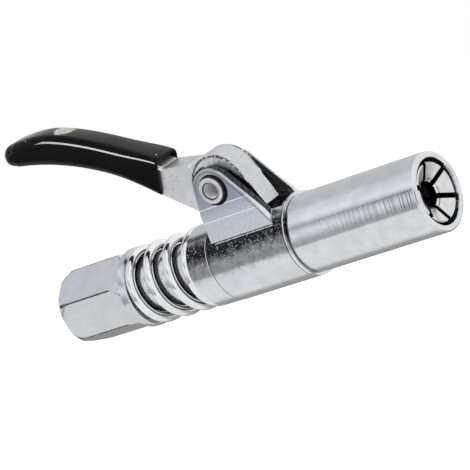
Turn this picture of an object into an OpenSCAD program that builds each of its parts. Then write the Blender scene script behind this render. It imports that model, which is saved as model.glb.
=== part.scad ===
// Lever-locking grease coupler: a spring-loaded sleeve closes six jaws round a grease nipple.
// Lengths are in millimetres. X is the bore axis, from the hose inlet's mouth (X = 0) to the jaws.
// Z points to the lever, and Y lies along the lever's pivot.

/* [Hose inlet] */
// Hexagon across its flats
hex_af = 17.4; // [16.8:0.1:18.4]
// Length of the hexagon up to its front chamfer
hex_len = 18.7; // [16:0.1:24]
// Length of the turned chamfer at the hexagon's rear end
hex_rear_chamfer = 3; // [1:0.1:4]
// Length of the turned chamfer at the hexagon's front end
hex_front_chamfer = 2.2; // [1:0.1:3]
// Radius of the hexagon's rear face and of its front neck
hex_face_r = 8.9; // [8.2:0.1:9.4]
// Radius of the threaded inlet hole
inlet_r = 4.35; // [3.6:0.05:5]
// Depth of the threaded inlet hole
inlet_depth = 12; // [9:0.5:12.5]
// Radius of the grease passage through the stem
passage_r = 1.6; // [1:0.1:2]
// Radius of the collar that the main spring stands on
collar_r = 10; // [9.8:0.05:10.6]
// Length of that collar
collar_len = 2.4; // [1.5:0.1:4]

/* [Main spring] */
// Wire diameter of the main spring
spring_wire = 2.4; // [1.6:0.1:2.6]
// Fitted length of the main spring
spring_len = 20.55; // [18:0.05:26]
// Number of turns, flat end turns included
spring_turns = 4; // [3:0.5:4]

/* [Sleeve and tube] */
// Outer radius of the clevis sleeve
sleeve_r = 10.2; // [10.1:0.1:11]
// Length of the clevis sleeve
sleeve_len = 30.75; // [30:0.05:34]
// Length of the turned part at the sleeve's rear end
sleeve_step_len = 6.3; // [4:0.1:7]
// Depth of that turned step
sleeve_step = 0.1; // [0.05:0.05:0.3]
// Outer radius of the front tube
tube_r = 9.5; // [9.3:0.05:9.8]
// Length of the front tube ahead of the sleeve's rim
tube_len = 36.9; // [34:0.1:42]
// Radius of the tube's mouth
mouth_r = 7.9; // [7.8:0.05:8.2]
// Radius of the stem that the sleeve slides on
stem_r = 7.4; // [7.2:0.05:7.5]

/* [Ears and rivet] */
// Distance from the sleeve's rear end to the lever's pivot
pivot_back = 14.95; // [14.5:0.05:15.5]
// Height of the pivot above the bore axis
pivot_z = 18.5; // [17.5:0.1:20]
// Radius of the ears' round tops
ear_top_r = 5.1; // [4.6:0.1:5.6]
// Half of the width over the two ears
ear_half = 7; // [6.6:0.1:7.2]
// Half of the slot between the ears
slot_half = 4.4; // [4:0.1:4.8]
// Half of the width over the ears where they meet the sleeve
ear_foot_half = 8; // [7.6:0.05:8.4]
// Outer radius of the rivet's shank
rivet_r = 2.5; // [2.2:0.1:2.8]
// Radius of the hole through the rivet
rivet_hole_r = 1.8; // [1.5:0.1:1.9]
// Radius of the rivet's rolled heads
rivet_head_r = 3.46; // [3.2:0.02:4]

/* [Lever] */
// Half of the lever's thickness
lever_half = 3.75; // [3.4:0.05:3.9]
// Half of the thickness at the tip of the nose
nose_half = 2.8; // [2.2:0.1:3.2]
// Radius of the lever's hub
hub_r = 7.6; // [7.2:0.1:8]
// Angle that the lever is pressed through
press_deg = 24; // [18:1:25]
// Radius of the curve that the handle follows
handle_r = 80; // [74:0.5:86]
// Length of the grip along that curve
grip_len = 42.5; // [34:0.5:50]
// Half of the handle bar's depth
bar_half = 2.9; // [2.4:0.1:3.2]
// Thickness of the dipped grip
grip_wall = 0.9; // [0.7:0.05:1.2]
// Edge radius of the grip
grip_edge = 2.4; // [1.6:0.1:2.8]

/* [Jaws] */
// Outer radius of the closed jaws at the mouth
jaw_r = 7.05; // [6.95:0.01:7.08]
// Width of the slots between the closed jaws
jaw_slot = 1; // [0.8:0.05:1.3]
// Length of the jaws
jaw_len = 23.75; // [23.5:0.05:25]
// Distance of the jaws' front faces behind the mouth
jaw_inset = 0.45; // [0.3:0.05:0.8]
// Radius of the closed jaws' lips, which grip a nipple's neck
lip_r = 2.6; // [2.4:0.05:2.8]
// Length of those lips
lip_len = 1; // [0.8:0.05:1.2]
// Radius at the inner end of the funnel
funnel_r = 3.65; // [3.3:0.05:4]
// Depth of the funnel
funnel_depth = 1.75; // [1.4:0.05:2.2]
// Radius of the room for a nipple's head behind the lips
head_room_r = 3.5; // [3.3:0.05:3.8]

/* [Seal and check valve] */
// Outer radius of the nipple seal
seal_r = 4.4; // [4.2:0.05:4.5]
// Length of the nipple seal
seal_len = 5; // [4.5:0.1:5.4]
// Outer radius of the seal's piston
piston_r = 3; // [2.7:0.05:3.1]
// Travel of the seal and its piston
piston_travel = 2; // [1:0.1:2.4]
// Radius of the check ball
ball_r = 2.2; // [2:0.05:2.4]

/* [Hidden] */
$fn = 96;

// Overrun of every cut past the face that it opens
cut = 1;
// Break of the turned edges
edge = 0.3;
// Radial gap of the sleeve and the tube round the stem
slide_gap = 0.2;
// Radial gap of a close running fit
run_gap = 0.05;
guide_r = stem_r + slide_gap;

// Places along the axis, from the inlet to the mouth
collar_x = hex_len + hex_front_chamfer;
seat_x = collar_x + collar_len;
sleeve_x = seat_x + spring_len;
rim_x = sleeve_x + sleeve_len;
mouth_x = rim_x + tube_len;
pivot_x = sleeve_x + pivot_back;
hex_corner_r = hex_af / 2 / cos(30);
// Turn of the hexagon's first corner from the Y direction
hex_turn = 36.7;

// Socket in the adapter, with the gasket and the stem's rear spigot in it
spigot_r = 6;
gasket_t = 1;
gasket_gap = 0.1;
drill_r = 2.4;
inlet_floor = 1.8;
drill_point = 1.2;
socket_x = inlet_depth + inlet_floor;
stem_x = socket_x + gasket_t;

// Finger of the lever, and the stem's groove that it works in
finger_r = 1.5;
finger_off = 3.5;
finger_clear = 0.8;
push_gap = 0.2;
neck_r = 4.6;
groove_len = 5.8;
finger_drop = pivot_z - neck_r - finger_clear - finger_r;
push_x = pivot_x - finger_off + finger_r + push_gap;
groove_x = push_x - groove_len;
stroke = finger_drop * sin(press_deg) + finger_off * (1 - cos(press_deg));

// Stop ring in its groove of the stem, and the sleeve's pocket for it
guide_len = 17.75;
ring_t = 1;
ring_root_r = 6.6;
ring_out_r = 8.2;
stop_gap = 0.1;
pocket_spare = 0.7;
pocket_r = ring_out_r + edge;
step_x = sleeve_x + guide_len;
ring_x = step_x + stop_gap;
skirt_x = ring_x + ring_t + stroke + pocket_spare;
// Step between the tube and its skirt inside the sleeve
skirt_step = 0.4;
skirt_r = tube_r - skirt_step;

// Window through the sleeve's top, under the lever
window_back = 8.05;
window_front = 1.2;
window_x = sleeve_x + window_back;
window_end_x = rim_x - window_front;

// Outline of the ears: rear edge, front kink and foot, measured from the pivot and the sleeve
ear_rear = 6.4;
ear_rear_rise = 3.3;
ear_kink_ahead = 11.1;
ear_kink_rise = 0.2;
ear_foot_ahead = 12.8;
// Bends across the ears' outer faces
bend_low = 1.3;
bend_high = 4.5;
bend_out = 0.3;
ear_foot_z = sqrt(pow(sleeve_r, 2) - pow(ear_foot_half, 2));

// Outline of the lever, measured from the pivot
hub_off = 0.7;
nose_ahead = 9.6;
nose_rise = 0.2;
nose_toe = 0.9;
nose_under = 0.4;
web_back = 9.8;
web_drop = 3.5;
heel_back = 5.5;
heel_drop = 7.7;
valley_back = 6.2;
valley_rise = 6.8;
// Root of the handle's curve, and the direction of its centre seen from that root
root_back = 15.25;
root_rise = 5.97;
root_deg = 49.1;
// Angle by which the bar runs past the grip into the web
root_lap_deg = 1.5;
bar_edge = 0.8;
tip_wall = 4;
// Step and lap of the grip's round tip on its swept part
tip_step = 0.05;
tip_lap = 0.5;
// Curve that takes the top of the grip down towards its tip
tip_taper_len = 7.9;
tip_taper_r = 18;
pivot = [pivot_x, pivot_z];
hub = pivot - [hub_off, 0];
handle_c = pivot + [-root_back, root_rise] - handle_r * [cos(root_deg), sin(root_deg)];
grip_deg = grip_len / handle_r * 180 / PI;
bar_deg = (grip_len - tip_wall) / handle_r * 180 / PI;
grip_half = bar_half + grip_wall;
grip_side = lever_half + grip_wall;
nose_tip = [pivot_x + nose_ahead, sleeve_r + nose_rise];
nose_deg = atan2(nose_tip[1] - hub[1], nose_tip[0] - hub[0]);
nose_reach = norm(nose_tip - hub);
// Share of the nose's reach at which its cheeks start to close in
cheek_share = 0.25;

// Taper in the mouth that closes the jaws as the sleeve comes forward
mouth_slope = 0.15;
choke_r = 6.9;
choke_len = 6.8;
choke_x = mouth_x - (mouth_r - choke_r) / mouth_slope;
mouth_round = 0.6;
mouth_break = 0.15;

// Jaws, from their front faces back to the hooks behind the stem's head
jaw_land = 4.15;
jaw_relief_r = 6.35;
jaw_flange_r = 7;
jaw_flange_len = 4.7;
jaw_slope_len = 0.8;
throat_len = 1.1;
back_cone_len = 1;
head_room_len = 1.4;
hook_t = 2;
hook_gap = 0.15;
hook_end_gap = 0.3;
hook_neck_gap = 0.35;
jaw_neck_r = 4.6;
head_r = 5.8;
head_t = 2.15;
head_gap = 0.25;
head_end_gap = 0.6;
// Round bead across each hook, on which the jaw swings, and its groove in the head
bead_r = 0.55;
bead_len = 1.8;
bead_gap = 0.15;
bead_ahead = 0.1;
swing_r = 5.35;
jaw_count = 6;
jaw_front_x = mouth_x - jaw_inset;
jaw_rear_x = jaw_front_x - jaw_len;
funnel_x = jaw_front_x - funnel_depth;
lip_front_x = funnel_x - throat_len;
lip_x = lip_front_x - lip_len;
back_cone_x = lip_x - back_cone_len;
head_room_x = back_cone_x - head_room_len;
shoulder_x = jaw_rear_x - hook_end_gap;
hook_x = jaw_rear_x + hook_t;
head_x = hook_x + hook_gap;
swing_x = hook_x + bead_ahead;
head_front_x = head_x + head_t;
cavity_x = head_front_x + head_end_gap;
cavity_gap = 0.45;
cavity_r = seal_r + cavity_gap;
jaw_taper_x = jaw_front_x - jaw_land;
jaw_relief_x = jaw_taper_x - (jaw_r - jaw_relief_r) / mouth_slope;

// Ring round the jaws' hooks
band_wire = 0.45;
band_r = 6.75;
band_gap = 0.12;
band_share = 0.5;
band_x = jaw_rear_x + hook_t * band_share;

// Seal, piston and their spring
seal_gap = 0.6;
seal_bore_r = 1.1;
seal_dish_r = 3;
seal_dish = 1.6;
plug_r = 2.6;
plug_len = 2.3;
flange_t = 1.2;
piston_len = 13;
piston_gap = 0.1;
piston_bore_r = 1.2;
chamber_spare = 2;
seal_front_x = head_room_x - seal_gap;
seal_x = seal_front_x - seal_len;
flange_x = seal_x - flange_t;
tail_x = flange_x - piston_len;
chamber_x = tail_x - piston_travel - chamber_spare;
o_ring_wire = 0.4;
o_ring_gap = 0.04;
o_ring_back = 2.5;
o_ring_r = piston_r + piston_gap - o_ring_gap - o_ring_wire;
o_ring_x = tail_x + o_ring_back;
piston_wire = 0.4;
piston_coil_r = 3.85;
piston_turns = 5;

// Check valve in the stem's rear end
valve_r = 3.2;
valve_len = 14.2;
valve_seat_in = 0.6;
valve_seat_t = 2.6;
ball_gap = 0.03;
check_wire = 0.3;
check_coil_r = 1.7;
check_turns = 6;
valve_seat_x = stem_x + valve_seat_in;
valve_face_x = valve_seat_x + valve_seat_t;
valve_end_x = stem_x + valve_len;
ball_x = valve_face_x + sqrt(pow(ball_r, 2) - pow(passage_r, 2)) + ball_gap;
check_spring_x = ball_x + sqrt(pow(ball_r + check_wire + ball_gap, 2) - pow(check_coil_r, 2)) - check_wire;

// Facets of the springs: sides of a wire and rings in a turn
wire_sides = 10;
turn_steps = 20;
fine_sides = 6;
fine_steps = 14;
// Turns of a spring that lie flat at each end
flat_turns = 0.55;
// Angle at which the main spring starts, seen along the axis
spring_start = -43;

// Points along an arc in the plane, from one angle to another
function arc_points(c, r, from, to, steps) =
    [for (i = [0 : steps]) c + r * [cos(from + (to - from) * i / steps), sin(from + (to - from) * i / steps)]];

// Point where a line from p touches a circle, on its left (1) or right (-1) seen from the centre
function touch(c, r, p, side) =
    let (lead = atan2(p[1] - c[1], p[0] - c[0]) + side * acos(r / norm(p - c)))
    c + r * [cos(lead), sin(lead)];

// Point where the line from a through b, lower down, comes to the height of the bore axis
function to_axis(a, b) = a + (b - a) * a[1] / (a[1] - b[1]);

// Place of a spring's wire along the axis after t turns, flat at both ends
function coil_x(t, turns, from, to) =
    from + (to - from) * min(max(t - flat_turns, 0), turns - 2 * flat_turns) / (turns - 2 * flat_turns);

function coil_point(t, turns, from, to, r, start) =
    [coil_x(t, turns, from, to), r * cos(start + 360 * t), r * sin(start + 360 * t)];

// Solid turned about the X axis from an outline of [radius, place] points
module turned(outline) {
    rotate([0, 90, 0]) rotate_extrude() polygon(outline);
}

// Bore along the X axis
module bore(r, from, to) {
    translate([from, 0, 0]) rotate([0, 90, 0]) cylinder(r = r, h = to - from);
}

// Outline in X and Z, made into a plate round the middle plane
module plate_y(width) {
    rotate([90, 0, 0]) linear_extrude(height = width, center = true) children();
}

// Outline in Y and Z, drawn out along X
module bar_x(from, to) {
    translate([from, 0, 0]) rotate([90, 0, 90]) linear_extrude(height = to - from) children();
}

// Spring wound round the X axis, its wire between two places
module coil(from, to, turns, r, wire_r, sides, steps, start) {
    count = ceil(turns * steps);
    rings = [for (i = [0 : count])
        let (t = turns * i / count,
            here = coil_point(t, turns, from + wire_r, to - wire_r, r, start),
            ahead = coil_point(t + 1 / steps, turns, from + wire_r, to - wire_r, r, start),
            behind = coil_point(t - 1 / steps, turns, from + wire_r, to - wire_r, r, start),
            out = [0, cos(start + 360 * t), sin(start + 360 * t)],
            along = (ahead - behind) / norm(ahead - behind),
            across = cross(along, out))
        [for (k = [0 : sides - 1])
            here + wire_r * (cos(360 * k / sides) * out + sin(360 * k / sides) * across)]];
    polyhedron(
        points = [for (ring = rings) each ring],
        faces = concat(
            [[for (k = [0 : sides - 1]) k]],
            [[for (k = [0 : sides - 1]) count * sides + sides - 1 - k]],
            [for (i = [0 : count - 1], k = [0 : sides - 1])
                [i * sides + k, (i + 1) * sides + k, (i + 1) * sides + (k + 1) % sides]],
            [for (i = [0 : count - 1], k = [0 : sides - 1])
                [i * sides + k, (i + 1) * sides + (k + 1) % sides, i * sides + (k + 1) % sides]]));
}

module inlet_adapter() {
    color("lightsteelblue") difference() {
        union() {
            intersection() {
                bar_x(0, collar_x) rotate(hex_turn) circle(r = hex_corner_r, $fn = 6);
                turned([[0, 0], [hex_face_r, 0], [hex_corner_r, hex_rear_chamfer],
                    [hex_corner_r, hex_len], [hex_face_r, collar_x], [0, collar_x]]);
            }
            turned([[0, collar_x], [collar_r - edge, collar_x], [collar_r, collar_x + edge],
                [collar_r, seat_x - edge], [collar_r - edge, seat_x], [0, seat_x]]);
        }
        bore(inlet_r, -cut, inlet_depth);
        turned([[0, inlet_depth], [inlet_r, inlet_depth], [drill_r, inlet_depth + drill_point],
            [drill_r, socket_x], [0, socket_x]]);
        bore(spigot_r + run_gap, socket_x, seat_x + cut);
    }
}

module inlet_gasket() {
    color("peru") difference() {
        bore(spigot_r - gasket_gap, socket_x, stem_x);
        bore(drill_r, socket_x - cut, stem_x + cut);
    }
}

module stem() {
    color("silver") difference() {
        turned([[0, stem_x], [spigot_r, stem_x], [spigot_r, seat_x], [stem_r - edge, seat_x],
            [stem_r, seat_x + edge], [stem_r, groove_x], [neck_r, groove_x], [neck_r, push_x],
            [stem_r, push_x], [stem_r, ring_x], [ring_root_r, ring_x],
            [ring_root_r, ring_x + ring_t], [stem_r, ring_x + ring_t],
            [stem_r, shoulder_x - edge], [stem_r - edge, shoulder_x], [jaw_neck_r, shoulder_x],
            [jaw_neck_r, head_x], [head_r, head_x], [head_r, head_front_x - edge],
            [head_r - edge, head_front_x], [0, head_front_x]]);
        bore(valve_r, stem_x - cut, valve_end_x);
        bore(passage_r, stem_x, chamber_x + cut);
        bore(piston_r + piston_gap, chamber_x, head_front_x + cut);
        translate([swing_x, 0, 0]) rotate([0, 90, 0]) rotate_extrude() translate([swing_r, 0])
            circle(r = bead_r + bead_gap);
    }
}

module check_seat() {
    color("goldenrod") difference() {
        bore(valve_r, valve_seat_x, valve_face_x);
        bore(passage_r, valve_seat_x - cut, valve_face_x + cut);
    }
}

module check_ball() {
    color("gainsboro") translate([ball_x, 0, 0]) sphere(r = ball_r);
}

module check_spring() {
    color("dimgray") coil(check_spring_x, valve_end_x, check_turns, check_coil_r, check_wire,
        fine_sides, fine_steps, 0);
}

module main_spring() {
    color("gainsboro") coil(seat_x, sleeve_x, spring_turns, collar_r - spring_wire / 2, spring_wire / 2,
        wire_sides, turn_steps, spring_start);
}

module stop_ring() {
    color("dimgray") difference() {
        bore(ring_out_r, ring_x, ring_x + ring_t);
        bore(ring_root_r + run_gap, ring_x - cut, ring_x + ring_t + cut);
    }
}

// Side view of an ear: a round top on straight edges that run down to the sleeve
module ear_outline() {
    kink = [pivot_x + ear_kink_ahead, sleeve_r + ear_kink_rise];
    shoulder = [pivot_x - ear_rear, sleeve_r + ear_rear_rise];
    translate(pivot) circle(r = ear_top_r);
    polygon([touch(pivot, ear_top_r, kink, 1), kink, to_axis(kink, [pivot_x + ear_foot_ahead, ear_foot_z]),
        [shoulder[0], 0], shoulder, touch(pivot, ear_top_r, shoulder, -1), pivot]);
}

// End view of an ear: upright above, leaning out in two bends towards the sleeve
module ear_section() {
    bend = [ear_half + bend_out, sleeve_r + bend_low];
    polygon([[slot_half, 0], to_axis(bend, [ear_foot_half, ear_foot_z]), bend, [ear_half, sleeve_r + bend_high],
        [ear_half, pivot_z + hub_r], [slot_half, pivot_z + hub_r]]);
}

module clevis_sleeve() {
    color("lightgray") difference() {
        union() {
            turned([[0, sleeve_x], [sleeve_r - sleeve_step - edge, sleeve_x],
                [sleeve_r - sleeve_step, sleeve_x + edge],
                [sleeve_r - sleeve_step, sleeve_x + sleeve_step_len],
                [sleeve_r, sleeve_x + sleeve_step_len], [sleeve_r, rim_x], [0, rim_x]]);
            intersection() {
                plate_y(2 * sleeve_r) ear_outline();
                union() {
                    bar_x(sleeve_x, rim_x) ear_section();
                    mirror([0, 1, 0]) bar_x(sleeve_x, rim_x) ear_section();
                }
            }
        }
        bore(guide_r, sleeve_x - cut, rim_x + cut);
        bore(pocket_r, step_x, rim_x + cut);
        bore(skirt_r, skirt_x, rim_x + cut);
        translate([window_x, -slot_half, 0]) cube([window_end_x - window_x, 2 * slot_half, pivot_z + hub_r]);
        translate([pivot_x, 0, pivot_z]) rotate([90, 0, 0]) cylinder(r = rivet_r, h = 4 * ear_half, center = true);
    }
}

module front_tube() {
    color("lightgray") difference() {
        turned(concat(
            [[guide_r, skirt_x], [skirt_r, skirt_x], [skirt_r, rim_x], [tube_r, rim_x]],
            arc_points([tube_r - mouth_round, mouth_x - mouth_round], mouth_round, 0, 90, 6),
            [[mouth_r + mouth_break, mouth_x], [mouth_r, mouth_x - mouth_break],
                [choke_r, choke_x], [choke_r, choke_x - choke_len],
                [guide_r, choke_x - choke_len - (guide_r - choke_r)]]));
        translate([skirt_x - cut, -slot_half, 0]) cube([window_end_x - skirt_x + cut, 2 * slot_half, sleeve_r]);
    }
}

module pivot_rivet() {
    wall = (rivet_head_r - rivet_hole_r) / 2;
    color("gainsboro") translate([pivot_x, 0, pivot_z]) rotate([90, 0, 0]) {
        difference() {
            cylinder(r = rivet_r, h = 2 * ear_half, center = true);
            cylinder(r = rivet_hole_r, h = 2 * ear_half + 2 * cut, center = true);
        }
        for (side = [0, 1]) mirror([0, 0, side]) rotate_extrude() intersection() {
            translate([rivet_hole_r + wall, ear_half]) circle(r = wall);
            translate([rivet_hole_r, ear_half]) square(2 * wall);
        }
    }
}

// Side view of the lever's flat part: hub, web, nose and the finger that works in the stem's groove
module lever_outline() {
    finger = pivot - [finger_off, finger_drop];
    valley = pivot + [-valley_back, valley_rise];
    under_z = nose_tip[1] - nose_under;
    translate(hub) circle(r = hub_r);
    translate(finger) circle(r = finger_r);
    polygon([touch(hub, hub_r, nose_tip, 1), nose_tip, nose_tip - [nose_toe, nose_under],
        [finger[0] + finger_r, under_z], finger + [finger_r, 0], finger - [finger_r, 0],
        pivot - [heel_back, heel_drop], pivot - [web_back, web_drop],
        handle_c + (handle_r - grip_half) * [cos(root_deg), sin(root_deg)],
        handle_c + (handle_r + bar_half) * [cos(root_deg), sin(root_deg)],
        valley, hub]);
}

// Section of the handle across its curve, as half depth by half width with round edges
module handle_section(depth, width, round_r) {
    translate([handle_r, 0]) {
        square([2 * depth, 2 * (width - round_r)], center = true);
        square([2 * (depth - round_r), 2 * width], center = true);
        for (x = [-1, 1], y = [-1, 1]) translate([x * (depth - round_r), y * (width - round_r)]) circle(r = round_r);
    }
}

// Handle section swept along the curve between two directions of its radius
module handle_sweep(from, to, depth, width, round_r) {
    translate([handle_c[0], 0, handle_c[1]]) rotate([90, 0, 0]) rotate([0, 0, from])
        rotate_extrude(angle = to - from) handle_section(depth, width, round_r);
}

// Inside of the grip, filled by the handle's bar
module handle_bar() {
    handle_sweep(root_deg - root_lap_deg, root_deg + bar_deg, bar_half, lever_half, bar_edge);
}

// Wedge beside the nose that its cheek leaves free
module cheek() {
    start = nose_reach * cheek_share;
    end = nose_reach + nose_toe + cut;
    translate([hub[0], 0, hub[1]]) rotate([0, -nose_deg, 0]) translate([0, 0, -nose_reach])
        linear_extrude(height = 2 * nose_reach)
        polygon([[start, lever_half], [nose_reach, nose_half], [end, nose_half],
            [end, lever_half + cut], [start, lever_half + cut]]);
}

module lever_arm() {
    color("silver") difference() {
        union() {
            plate_y(2 * lever_half) lever_outline();
            handle_bar();
        }
        translate([pivot_x, 0, pivot_z]) rotate([90, 0, 0])
            cylinder(r = rivet_r + run_gap, h = 4 * lever_half, center = true);
        cheek();
        mirror([0, 1, 0]) cheek();
    }
}

module lever_grip() {
    tip_deg = root_deg + grip_deg;
    taper_deg = tip_deg - tip_taper_len / handle_r * 180 / PI;
    depth = grip_half - tip_step;
    width = grip_side - tip_step;
    color("black") difference() {
        union() {
            handle_sweep(root_deg, tip_deg, grip_half, grip_side, grip_edge);
            translate([handle_c[0], 0, handle_c[1]]) rotate([0, 90 - tip_deg, 0])
                translate([tip_lap, 0, handle_r]) rotate([0, 0, 90]) rotate_extrude(angle = 180) {
                    translate([0, -depth]) square([width - grip_edge, 2 * depth]);
                    translate([0, grip_edge - depth]) square([width, 2 * (depth - grip_edge)]);
                    for (y = [-1, 1]) intersection() {
                        translate([width - grip_edge, y * (depth - grip_edge)]) circle(r = grip_edge);
                        translate([0, -depth]) square([width, 2 * depth]);
                    }
                }
        }
        handle_bar();
        translate([handle_c[0], 0, handle_c[1]]) rotate([0, 90 - taper_deg, 0])
            translate([0, 0, handle_r + grip_half - tip_taper_r]) plate_y(4 * grip_side) difference() {
                translate([-2 * tip_taper_r, 0]) square(2 * tip_taper_r);
                circle(r = tip_taper_r);
            }
    }
}

// One jaw: a sixth of a turned collet, hooked behind the stem's head
module jaw(index) {
    turn = 360 / jaw_count;
    apex = jaw_slot / 2 / sin(turn / 2);
    color("silver") union() {
        intersection() {
            difference() {
                turned([[jaw_neck_r + hook_neck_gap, jaw_rear_x], [jaw_flange_r - edge, jaw_rear_x],
                    [jaw_flange_r, jaw_rear_x + edge], [jaw_flange_r, jaw_rear_x + jaw_flange_len],
                    [jaw_relief_r, jaw_rear_x + jaw_flange_len + jaw_slope_len],
                    [jaw_relief_r, jaw_relief_x], [jaw_r, jaw_taper_x], [jaw_r, jaw_front_x - edge],
                    [jaw_r - edge, jaw_front_x], [funnel_r, funnel_x], [lip_r, lip_front_x],
                    [lip_r, lip_x], [head_room_r, back_cone_x], [head_room_r, head_room_x],
                    [cavity_r, head_room_x], [cavity_r, cavity_x], [head_r + head_gap, cavity_x],
                    [head_r + head_gap, hook_x], [jaw_neck_r + hook_neck_gap, hook_x]]);
                translate([band_x, 0, 0]) rotate([0, 90, 0]) rotate_extrude() translate([band_r, 0])
                    circle(r = band_wire + band_gap);
            }
            rotate([turn * index - 90, 0, 0]) bar_x(jaw_rear_x - cut, mouth_x)
                polygon([[0, apex], [apex + mouth_x * tan(turn / 2), apex + mouth_x],
                    [-apex - mouth_x * tan(turn / 2), apex + mouth_x]]);
        }
        rotate([turn * index - 90, 0, 0]) translate([swing_x, 0, swing_r]) rotate([90, 0, 0])
            cylinder(r = bead_r, h = bead_len, center = true);
    }
}

module jaw_1() jaw(0);
module jaw_2() jaw(1);
module jaw_3() jaw(2);
module jaw_4() jaw(3);
module jaw_5() jaw(4);
module jaw_6() jaw(5);

module jaw_ring() {
    color("dimgray") translate([band_x, 0, 0]) rotate([0, 90, 0]) rotate_extrude() translate([band_r, 0])
        circle(r = band_wire);
}

module seal_piston() {
    color("goldenrod") difference() {
        turned([[0, tail_x], [piston_r, tail_x], [piston_r, flange_x], [seal_r, flange_x],
            [seal_r, seal_x], [plug_r, seal_x], [plug_r, seal_x + plug_len], [0, seal_x + plug_len]]);
        bore(piston_bore_r, tail_x - cut, seal_x + plug_len + cut);
        translate([o_ring_x, 0, 0]) rotate([0, 90, 0]) rotate_extrude() translate([o_ring_r, 0])
            union() {
                circle(r = o_ring_wire);
                translate([0, -o_ring_wire]) square([piston_r, 2 * o_ring_wire]);
            }
    }
}

module piston_o_ring() {
    color("black") translate([o_ring_x, 0, 0]) rotate([0, 90, 0]) rotate_extrude() translate([o_ring_r, 0])
        circle(r = o_ring_wire);
}

module piston_spring() {
    color("dimgray") coil(head_front_x, flange_x, piston_turns, piston_coil_r, piston_wire,
        fine_sides, turn_steps, 0);
}

module nipple_seal() {
    color("darkslategray") turned([[plug_r, seal_x], [seal_r, seal_x], [seal_r, seal_front_x],
        [seal_dish_r, seal_front_x], [seal_bore_r, seal_front_x - seal_dish],
        [seal_bore_r, seal_x + plug_len], [plug_r, seal_x + plug_len]]);
}

inlet_adapter();
inlet_gasket();
stem();
check_seat();
check_ball();
check_spring();
main_spring();
stop_ring();
clevis_sleeve();
front_tube();
pivot_rivet();
lever_arm();
lever_grip();
jaw_1();
jaw_2();
jaw_3();
jaw_4();
jaw_5();
jaw_6();
jaw_ring();
seal_piston();
piston_o_ring();
piston_spring();
nipple_seal();
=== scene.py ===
"""Looks of the lever-locking grease coupler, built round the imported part."""
from math import atan, cos, degrees, pi, radians, sin, sqrt, tan

import bmesh
import bpy
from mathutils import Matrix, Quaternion, Vector


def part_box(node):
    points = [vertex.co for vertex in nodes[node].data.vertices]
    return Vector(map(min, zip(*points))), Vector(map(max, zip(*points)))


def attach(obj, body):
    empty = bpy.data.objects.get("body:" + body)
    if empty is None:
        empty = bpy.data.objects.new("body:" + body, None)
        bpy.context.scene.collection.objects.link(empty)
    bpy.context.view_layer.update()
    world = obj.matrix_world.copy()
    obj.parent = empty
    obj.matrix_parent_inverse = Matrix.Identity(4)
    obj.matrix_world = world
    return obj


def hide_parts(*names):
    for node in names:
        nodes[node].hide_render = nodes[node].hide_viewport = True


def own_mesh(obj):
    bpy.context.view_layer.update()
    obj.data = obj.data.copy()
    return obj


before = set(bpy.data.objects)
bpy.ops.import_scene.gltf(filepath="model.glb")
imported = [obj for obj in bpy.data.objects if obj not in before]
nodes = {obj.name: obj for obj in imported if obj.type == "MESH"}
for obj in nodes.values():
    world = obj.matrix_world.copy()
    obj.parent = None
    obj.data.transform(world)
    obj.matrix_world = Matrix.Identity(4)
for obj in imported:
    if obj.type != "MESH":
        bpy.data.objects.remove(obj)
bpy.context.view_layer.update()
MM = 0.001

# The coupler's lengths are in millimetres. X runs from the inlet's face to the mouth, Z up from the axis

# The lever's pivot, the radius of the lever's hub and the distance of its flanks to the side
PIVOT_X, PIVOT_Z, HUB_R, LEVER_FLANK = 58.8, 18.5, 7.6, 3.0
PIVOT = (PIVOT_X, PIVOT_Z)
# Along X: the sleeve's rear end, step and front edge, and the start of the tube's rounded mouth
SLEEVE_REAR, SLEEVE_STEP, SLEEVE_FRONT, MOUTH_EDGE = 43.85, 50.15, 73.75, 110.9
# The ears: the radius where they begin, and the distances to the side of their inner edge and outer face
EAR_FROM_R, EAR_INSIDE, EAR_FACE = 10.35, 6.25, 6.9
# Heights of the lines between the ears' three facets, and half the change of tone across one
FACET_LOW, FACET_HIGH, FACET_HALF = 11.45, 14.65, 0.15
# Front slope of the ears: where it leaves the round top, its outward direction, and the line that parts them
EAR_TOUCH, EAR_NORMAL = (63.12, 21.21), (0.847, 0.531)
SLOPE_FROM_X, SLOPE_LEAN = 49.6, 0.64

# Turn of the hexagon about the axis, in degrees
HEX_TURN = 36.7


# Formulas in node trees
class Value:
    """Number, vector or colour that a node tree works out, so that a finish is written as a formula."""

    def __init__(self, tree, socket):
        self.tree = tree
        self.socket = socket

    def math(self, operation, *others):
        return math_node(self.tree, operation, self, *others)

    def __add__(self, other):
        return self.math("ADD", other)

    def __sub__(self, other):
        return self.math("SUBTRACT", other)

    def __rsub__(self, other):
        return math_node(self.tree, "SUBTRACT", other, self)

    def __mul__(self, other):
        return self.math("MULTIPLY", other)

    def __truediv__(self, other):
        return self.math("DIVIDE", other)

    def __rtruediv__(self, other):
        return math_node(self.tree, "DIVIDE", other, self)

    def __pow__(self, other):
        return self.math("POWER", other)

    def __abs__(self):
        return self.math("ABSOLUTE")

    def __gt__(self, other):
        return self.math("GREATER_THAN", other)

    def __lt__(self, other):
        return self.math("LESS_THAN", other)

    def __or__(self, other):
        """The greater of two masks."""
        return self.math("MAXIMUM", other)

    def ramp(self, low, high, to_low, to_high):
        """Takes low to to_low and high to to_high, and stays there outside them."""
        return new_node(self.tree, "ShaderNodeMapRange", output="Result", Value=self, From_Min=low,
                        From_Max=high, To_Min=to_low, To_Max=to_high)

    def rise(self, low, high):
        return self.ramp(low, high, 0.0, 1.0)

    def fall(self, low, high):
        return self.ramp(low, high, 1.0, 0.0)


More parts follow.
